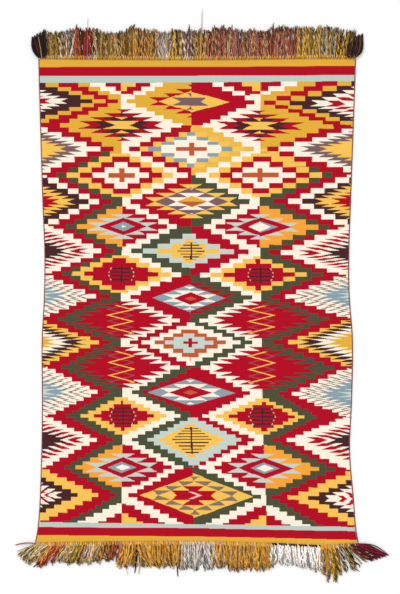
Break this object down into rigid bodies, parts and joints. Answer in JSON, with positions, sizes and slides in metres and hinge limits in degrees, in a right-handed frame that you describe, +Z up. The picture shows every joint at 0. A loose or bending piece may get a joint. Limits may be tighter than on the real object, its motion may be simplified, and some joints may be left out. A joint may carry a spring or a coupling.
{
  "type": "navajo rug",
  "caption": "Flat-woven wool rug lying flat, with terraced diamonds, striped ends, corded sides, a yarn fringe at each end and tassels at the corners.",
  "frame": {"origin": "middle of the woven cloth, on its underside", "axes": "+Z up from the floor through the cloth, +Y along the warp to the top end, +X to the right across the weft"},
  "size_m": [1.1273, 1.7184, 0.0085],
  "materials": {
    "cloth_wool": "matt weft-faced wool in red, cream, gold, green, brown-black and pale blue",
    "cord_wool": "matt plied wool cord",
    "fringe_wool": "matt plied wool yarn in gold, olive, brown, rose, red and cream",
    "black_wool": "matt plied wool yarn",
    "maroon_wool": "matt plied wool yarn"
  },
  "bodies": {
    "root": {"cloth": "cloth_wool", "cord_left": "cord_wool", "cord_right": "cord_wool", "fringe_top": "fringe_wool", "fringe_bottom": "fringe_wool", "tassel_top_left": "black_wool", "tassel_top_right": "black_wool", "tassel_bottom_right": "maroon_wool"}
  },
  "joints": []
}
